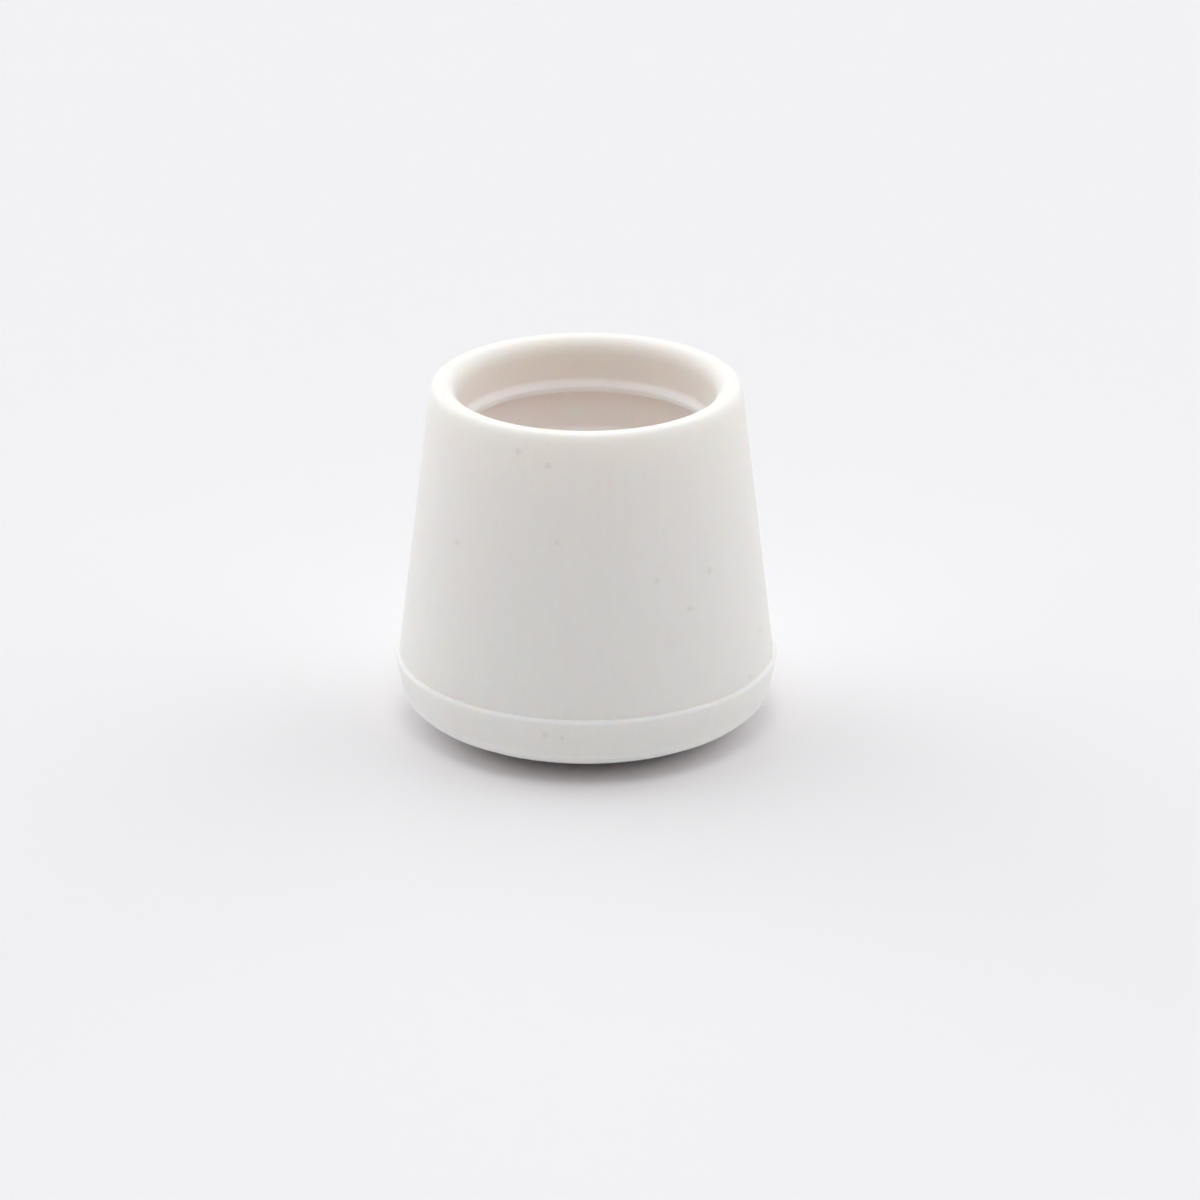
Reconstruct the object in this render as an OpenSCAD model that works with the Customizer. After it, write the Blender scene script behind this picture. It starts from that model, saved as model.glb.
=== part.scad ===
// Rubber foot for a round tube leg: one moulded piece with a blind socket.
// Millimetres, +Z up. The origin is on the axis, on the surface it stands on.

/* [Socket] */
// Diameter of the socket wall between the grip rings
bore_d = 22; // [16:0.1:32]
// Depth of the socket below the rim
socket_depth = 24.5; // [21:0.5:45]
// Radius of the corner between the socket wall and its floor
socket_round = 1; // [0.4:0.1:2]

/* [Grip rings] */
// Number of rings that grip the tube
ring_count = 4; // [1:1:5]
// Depth of the first ring's upper edge below the rim
ring_depth = 3.5; // [2:0.05:5]
// Distance from one ring to the next
ring_pitch = 4.35; // [2.5:0.05:5.2]
// How far a ring stands in from the socket wall
ring_proud = 0.5; // [0.2:0.05:1]
// Height of a ring's sloping upper side, which leads the tube in
ring_lead = 0.75; // [0.2:0.05:1.2]
// Height of the cylindrical crest that grips the tube
ring_crest = 0.3; // [0.2:0.05:0.8]
// Height of a ring's rounded lower edge
ring_edge = 0.2; // [0.1:0.05:0.4]

/* [Wall] */
// Thickness of the wall at the rim
rim_wall = 2.2; // [1.2:0.05:4]
// How far the wall spreads outward from the rim down to the base
wall_flare = 2.95; // [0:0.05:6]
// Width of the rim's inner edge, where the top curves over into the socket
rim_inner_w = 1.05; // [0.2:0.05:1.1]
// Height of the rim's inner edge
rim_inner_h = 1.5; // [0.2:0.05:1.8]
// Width of the rim's outer edge, where the top curves over into the wall
rim_outer_w = 0.55; // [0.3:0.05:1.5]
// Height of the rim's outer edge, which curves more gently down the wall
rim_outer_h = 1.3; // [0.3:0.1:3]

/* [Base band] */
// Height of the band's upper edge above the ground
band_h = 6.45; // [4.5:0.05:9]
// How far the band stands out from the wall at its upper edge
band_step = 0.4; // [0.2:0.05:1.5]
// How far the band's side draws in from its upper edge down to the ground
band_taper = 1.2; // [0:0.05:3]
// Radius of the band's upper edge
band_round = 0.3; // [0.1:0.05:0.8]

/* [Sole] */
// Thickness of rubber under the socket floor, at the tread
sole_h = 6.1; // [4:0.1:14]
// Width of the rounded underside, from the band's side in to the flat tread
sole_round_w = 11; // [2:0.1:11.5]
// Height of the rounded underside
sole_round_h = 3.5; // [1:0.1:3.9]

/* [Hidden] */
$fn = 120;
arc_steps = 8;
rubber = [0.91, 0.9, 0.88];

// Heights from the ground up
foot_h = sole_h + socket_depth;

// Radii from the socket out
bore_r = bore_d / 2;
rim_r = bore_r + rim_wall;
wall_foot_r = rim_r + wall_flare;
band_r = wall_foot_r + band_step;

// The wall leans out, and the band's side leans in, on the way down
wall_lean = atan(wall_flare / (foot_h - band_h));
band_lean = atan(band_taper / band_h);

// How far in from the band's sharp corner the centre of an edge of radius 1 lies
band_reach = 1 / cos(band_lean) + tan(band_lean);

// Sizes of the rounded edges, limited by the wall or step that they lie on
rim_in = min(rim_inner_w, 0.5 * rim_wall);
rim_out = min(rim_outer_w, rim_wall - rim_in);
band_edge = min(band_round, band_step / band_reach);

// Centres of the rounded edges, each touching the two faces that it blends
rim_in_c = [bore_r + rim_in, foot_h - rim_inner_h];
rim_out_from = atan(tan(wall_lean) * rim_outer_h / rim_out);
rim_out_c = [
    rim_r + rim_outer_h * (1 - sin(rim_out_from)) * tan(wall_lean) - rim_out * cos(rim_out_from),
    foot_h - rim_outer_h
];
band_c = [band_r - band_edge * band_reach, band_h - band_edge];
socket_c = [bore_r - socket_round, sole_h + socket_round];

// The underside is one wide curve, from the flat tread up to the band's side
sole_to = -atan(tan(band_lean) * sole_round_h / sole_round_w);
sole_top = sole_round_h * (1 + sin(sole_to));
sole_c = [
    band_r - (band_h - sole_top) * tan(band_lean) - sole_round_w * cos(sole_to),
    sole_round_h
];

// Points along an arc about c, w wide and h high, from angle a to angle b
function arc(c, w, h, a, b) = [
    for (i = [0 : arc_steps])
        let (t = a + (b - a) * i / arc_steps)
        [c.x + w * cos(t), c.y + h * sin(t)]
];

// Points along a round arc
function round_arc(c, r, a, b) = arc(c, r, r, a, b);

// Points down a smooth slope from the socket wall at height top in to the ring's crest
function lead_section(top) = [
    for (i = [0 : arc_steps])
        let (t = i / arc_steps)
        [bore_r - ring_proud * (1 - cos(180 * t)) / 2, top - ring_lead * t]
];

// One grip ring from its top down: sloping lead, crest, rounded edge
function ring_section(top) = concat(
    lead_section(top),
    arc([bore_r, top - ring_lead - ring_crest], ring_proud, ring_edge, 180, 270)
);

// Half of the upright section, from the tread round the outside to the socket
section = concat(
    [[0, 0]],
    arc(sole_c, sole_round_w, sole_round_h, -90, sole_to),
    round_arc(band_c, band_edge, -band_lean, 90),
    [[wall_foot_r, band_h]],
    arc(rim_out_c, rim_out, rim_outer_h, rim_out_from, 90),
    arc(rim_in_c, rim_in, rim_inner_h, 90, 180),
    [for (i = [0 : ring_count - 1])
        each ring_section(foot_h - ring_depth - i * ring_pitch)],
    round_arc(socket_c, socket_round, 0, -90),
    [[0, sole_h]]
);

module foot() {
    color(rubber)
    rotate_extrude() polygon(section);
}

foot();
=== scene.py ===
import math

import bpy
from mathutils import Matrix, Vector

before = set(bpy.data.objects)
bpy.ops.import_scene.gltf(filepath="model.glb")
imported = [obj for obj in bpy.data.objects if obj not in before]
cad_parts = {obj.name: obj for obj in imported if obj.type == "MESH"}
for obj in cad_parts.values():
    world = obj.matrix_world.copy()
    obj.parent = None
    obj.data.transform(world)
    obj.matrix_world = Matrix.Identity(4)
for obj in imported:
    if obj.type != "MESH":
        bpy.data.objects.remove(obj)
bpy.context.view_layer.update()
print("frame loaded")

mm = 0.001


def srgbToLinear(channel):
    if channel <= 0.04045:
        return channel / 12.92
    return ((channel + 0.055) / 1.055) ** 2.4


def hexColour(code):
    parts = [int(code[i : i + 2], 16) / 255 for i in (1, 3, 5)]
    return tuple(srgbToLinear(c) for c in parts) + (1.0,)


def addNode(tree, kind, settings=None, links=None):
    # links: input name or index -> output socket, or a plain value
    node = tree.nodes.new(kind)
    for name, value in (settings or {}).items():
        setattr(node, name, value)
    for name, value in (links or {}).items():
        if isinstance(value, bpy.types.NodeSocket):
            tree.links.new(value, node.inputs[name])
        else:
            node.inputs[name].default_value = value
    return node


def newMaterial(name):
    material = bpy.data.materials.new(name)
    material.use_nodes = True
    material.node_tree.nodes.clear()
    return material


cameraRig = {
    "distance": 369.9 * mm,  # from the axis, level
    "height": 162.8 * mm,
    "tiltDown": 22.357,  # degrees below level
    "lens": 139.06,  # in millimetres
    "sensor": 36,  # its width in millimetres
    "sideShift": 0.0115,  # the foot stands a little left of the middle
    "nearest": 10 * mm,
}


def placeCamera(rig):
    data = bpy.data.cameras.new("camera")
    data.lens = rig["lens"]
    data.sensor_width = rig["sensor"]
    data.shift_x = rig["sideShift"]
    data.clip_start = rig["nearest"]
    camera = bpy.data.objects.new("camera", data)
    camera.location = (0, -rig["distance"], rig["height"])
    camera.rotation_euler = (math.radians(90 - rig["tiltDown"]), 0, 0)
    bpy.context.scene.collection.objects.link(camera)
    bpy.context.scene.camera = camera


placeCamera(cameraRig)
print("camera placed")

rubber = {
    "colour": "#FEF7F4",
    "cloudColour": "#F9F1ED",
    # Patterns, each with its size in x, y and z
    "clouds": {"size": (7 * mm, 7 * mm, 7 * mm), "detail": 3.0},  # where it was mixed
    "streaks": {"size": (0.6 * mm, 0.6 * mm, 12 * mm), "detail": 1.0},  # as it flowed upward
    "grain": {"size": (0.3 * mm, 0.3 * mm, 0.3 * mm), "detail": 2.0},  # of the mould's surface
    "streakShare": 0.5,  # of the change in colour, where the clouds make the rest
    "grainDepth": 0.006 * mm,
    "roughness": 0.6,
    "ior": 1.52,  # typical for rubber
    "throughLight": 1.0,  # share of the light that goes in and comes out again nearby
    "throughReach": (1.0, 0.75, 0.55),  # red light goes deepest
    "throughScale": 1.8 * mm,
    "speckColour": "#A79F92",
    "speckDepth": 0.16,  # how much of its colour a speck shows
    # Specks on the skin: degrees round from the camera's side, mm above the floor, mm wide
    "specks": [
        (-24.8, 28.9, 1.0),
        (-13.5, 28.0, 0.9),
        (-48.1, 19.8, 0.8),
        (-9.7, 21.6, 0.8),
        (23.5, 17.9, 0.7),
        (44.1, 17.7, 1.0),
        (35.0, 15.0, 1.0),
        (70.7, 10.0, 0.8),
        (59.9, 6.9, 0.8),
        (79.6, 6.6, 1.0),
        (-12.2, 5.0, 0.9),
        (-7.2, 4.8, 0.7),
        (-72.1, 2.4, 0.8),
        (118.0, 21.3, 0.9),
        (152.0, 12.4, 0.8),
        (171.0, 25.1, 0.9),
        (-104.0, 14.6, 0.9),
        (-139.0, 23.0, 0.8),
        (-163.0, 9.2, 1.0),
    ],
}


def skinSpot(piece, around, up):
    # The point on the outside of the piece at that angle and height
    wellOutside = 100 * mm
    angle = math.radians(around)
    outward = Vector((math.sin(angle), -math.cos(angle), 0))
    start = outward * wellOutside + Vector((0, 0, up * mm))
    return piece.ray_cast(start, -outward)[1]


def speckMask(tree, place, spots):
    # 1 on a speck, 0 off it, with a soft edge
    mask = None
    for spot, width in spots:
        gap = addNode(
            tree,
            "ShaderNodeVectorMath",
            {"operation": "DISTANCE"},
            {0: place, 1: tuple(spot)},
        )
        dot = addNode(
            tree,
            "ShaderNodeMapRange",
            {"interpolation_type": "SMOOTHSTEP"},
            {
                "Value": gap.outputs["Value"],
                "From Min": 0.0,
                "From Max": width * mm / 2,
                "To Min": 1.0,
                "To Max": 0.0,
            },
        ).outputs["Result"]
        if mask is None:
            mask = dot
        else:
            mask = addNode(
                tree,
                "ShaderNodeMath",
                {"operation": "MAXIMUM"},
                {0: mask, 1: dot},
            ).outputs[0]
    return mask


def mouldedRubber(spec, piece):
    # Off-white rubber pressed in a mould: matt, faintly clouded and streaked by its flow, with
    # the mould's fine grain and a few dust specks, and soft to look at, as light goes a little
    # way into it. The real grain is too fine to show, so it is drawn a little coarser.
    material = newMaterial("mouldedRubber")
    tree = material.node_tree
    place = addNode(tree, "ShaderNodeTexCoord").outputs["Object"]
    patterns = {}
    for name in ("clouds", "streaks", "grain"):
        stretched = addNode(
            tree,
            "ShaderNodeVectorMath",
            {"operation": "DIVIDE"},
            {0: place, 1: spec[name]["size"]},
        )
        patterns[name] = addNode(
            tree,
            "ShaderNodeTexNoise",
            links={
                "Vector": stretched.outputs[0],
                "Scale": 1.0,
                "Detail": spec[name]["detail"],
            },
        ).outputs["Fac"]
    # A mix node takes plain numbers in 2 and 3 and gives one in 0, and colours in 6, 7 and 2
    flow = addNode(
        tree,
        "ShaderNodeMix",
        {"data_type": "FLOAT"},
        {0: spec["streakShare"], 2: patterns["clouds"], 3: patterns["streaks"]},
    )
    clean = addNode(
        tree,
        "ShaderNodeMix",
        {"data_type": "RGBA"},
        {0: flow.outputs[0], 6: hexColour(spec["colour"]), 7: hexColour(spec["cloudColour"])},
    )
    spots = [(skinSpot(piece, around, up), width) for around, up, width in spec["specks"]]
    shade = addNode(
        tree,
        "ShaderNodeMath",
        {"operation": "MULTIPLY"},
        {0: speckMask(tree, place, spots), 1: spec["speckDepth"]},
    )
    specked = addNode(
        tree,
        "ShaderNodeMix",
        {"data_type": "RGBA"},
        {0: shade.outputs[0], 6: clean.outputs[2], 7: hexColour(spec["speckColour"])},
    )
    bump = addNode(
        tree,
        "ShaderNodeBump",
        links={"Height": patterns["grain"], "Distance": spec["grainDepth"], "Strength": 1.0},
    )
    shader = addNode(
        tree,
        "ShaderNodeBsdfPrincipled",
        links={
            "Base Color": specked.outputs[2],
            "Normal": bump.outputs["Normal"],
            "Roughness": spec["roughness"],
            "IOR": spec["ior"],
            "Subsurface Weight": spec["throughLight"],
            "Subsurface Radius": spec["throughReach"],
            "Subsurface Scale": spec["throughScale"],
        },
    )
    addNode(tree, "ShaderNodeOutputMaterial", links={"Surface": shader.outputs["BSDF"]})
    return material


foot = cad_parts["foot"]
foot.data.materials.clear()
foot.data.materials.append(mouldedRubber(rubber, foot))
print("rubber done")

room = {
    "floorColour": "#FBFBFD",  # as it lights the foot from below
    "floorSeen": "#F0F0F2",  # as the camera and the shine on the foot see it
    "floorRoughness": 0.9,
    "floorShine": 0.1,
    "floorHalf": 3.0,  # metres from its middle to an edge
    "skyColour": "#F3F3F5",  # close to how the lit floor looks, so that the horizon is faint
}


def backgroundRays(tree):
    # 1 on rays that show the background, to the camera or in a shine, and 0 on rays that light
    rays = addNode(tree, "ShaderNodeLightPath")
    shown = rays.outputs["Is Camera Ray"]
    for name in ("Is Glossy Ray", "Is Transmission Ray"):
        shown = addNode(
            tree,
            "ShaderNodeMath",
            {"operation": "MAXIMUM"},
            {0: shown, 1: rays.outputs[name]},
        ).outputs[0]
    return shown


def paperFloor(spec):
    # Matt white paper that throws soft light up on the foot. The camera and the foot's shine see
    # it a shade darker, to match the background.
    material = newMaterial("paperFloor")
    tree = material.node_tree
    colour = addNode(
        tree,
        "ShaderNodeMix",
        {"data_type": "RGBA"},
        {
            0: backgroundRays(tree),
            6: hexColour(spec["floorColour"]),
            7: hexColour(spec["floorSeen"]),
        },
    )
    shader = addNode(
        tree,
        "ShaderNodeBsdfPrincipled",
        links={
            "Base Color": colour.outputs[2],
            "Roughness": spec["floorRoughness"],
            "Specular IOR Level": spec["floorShine"],
        },
    )
    addNode(tree, "ShaderNodeOutputMaterial", links={"Surface": shader.outputs["BSDF"]})
    return material


def makeFloor(spec):
    half = spec["floorHalf"]
    mesh = bpy.data.meshes.new("floor")
    mesh.from_pydata(
        [(-half, -half, 0), (half, -half, 0), (half, half, 0), (-half, half, 0)],
        [],
        [(0, 1, 2, 3)],
    )
    mesh.materials.append(paperFloor(spec))
    floor = bpy.data.objects.new("floor", mesh)
    bpy.context.scene.collection.objects.link(floor)


def makeSky(spec):
    # It shows past the floor's far edge and in the foot's faint shine, and gives no other light
    world = bpy.data.worlds.new("room")
    world.use_nodes = True
    bpy.context.scene.world = world
    tree = world.node_tree
    tree.nodes.clear()
    sky = addNode(
        tree,
        "ShaderNodeBackground",
        links={"Color": hexColour(spec["skyColour"]), "Strength": backgroundRays(tree)},
    )
    addNode(tree, "ShaderNodeOutputWorld", links={"Surface": sky.outputs[0]})


# Each lamp is a very wide sun that stands for a large softbox. Around is in degrees from the
# camera's side, with 90 at its right, up is its height in degrees and spread is its width.
lamps = [
    {"name": "topLamp", "around": 0, "up": 90, "spread": 120, "strength": 0.87},
    {"name": "frontTopLamp", "around": 0, "up": 70, "spread": 20, "strength": 0.46},
    {"name": "leftLamp", "around": 270, "up": 40, "spread": 60, "strength": 0.42},
    {"name": "rightLamp", "around": 90, "up": 40, "spread": 60, "strength": 0.57},
    {"name": "backLeftLamp", "around": 225, "up": 45, "spread": 75, "strength": 0.93},
    {"name": "backRightLamp", "around": 135, "up": 45, "spread": 75, "strength": 0.64},
    {"name": "lowBackLeftLamp", "around": 225, "up": 15, "spread": 30, "strength": 0.26},
    {"name": "lowBackRightLamp", "around": 135, "up": 15, "spread": 30, "strength": 0.20},
]


def hangLamp(spec):
    data = bpy.data.lights.new(spec["name"], "SUN")
    data.angle = math.radians(spec["spread"])
    data.energy = spec["strength"]
    around = math.radians(spec["around"])
    up = math.radians(spec["up"])
    towards = Vector(
        (math.sin(around) * math.cos(up), -math.cos(around) * math.cos(up), math.sin(up))
    )
    lamp = bpy.data.objects.new(spec["name"], data)
    lamp.location = towards * 500 * mm  # only to keep it clear of the foot
    lamp.rotation_euler = towards.to_track_quat("Z", "Y").to_euler()
    bpy.context.scene.collection.objects.link(lamp)


makeFloor(room)
makeSky(room)
for lampSpec in lamps:
    hangLamp(lampSpec)
print("room lit")

bpy.context.scene.view_settings.view_transform = "Standard"
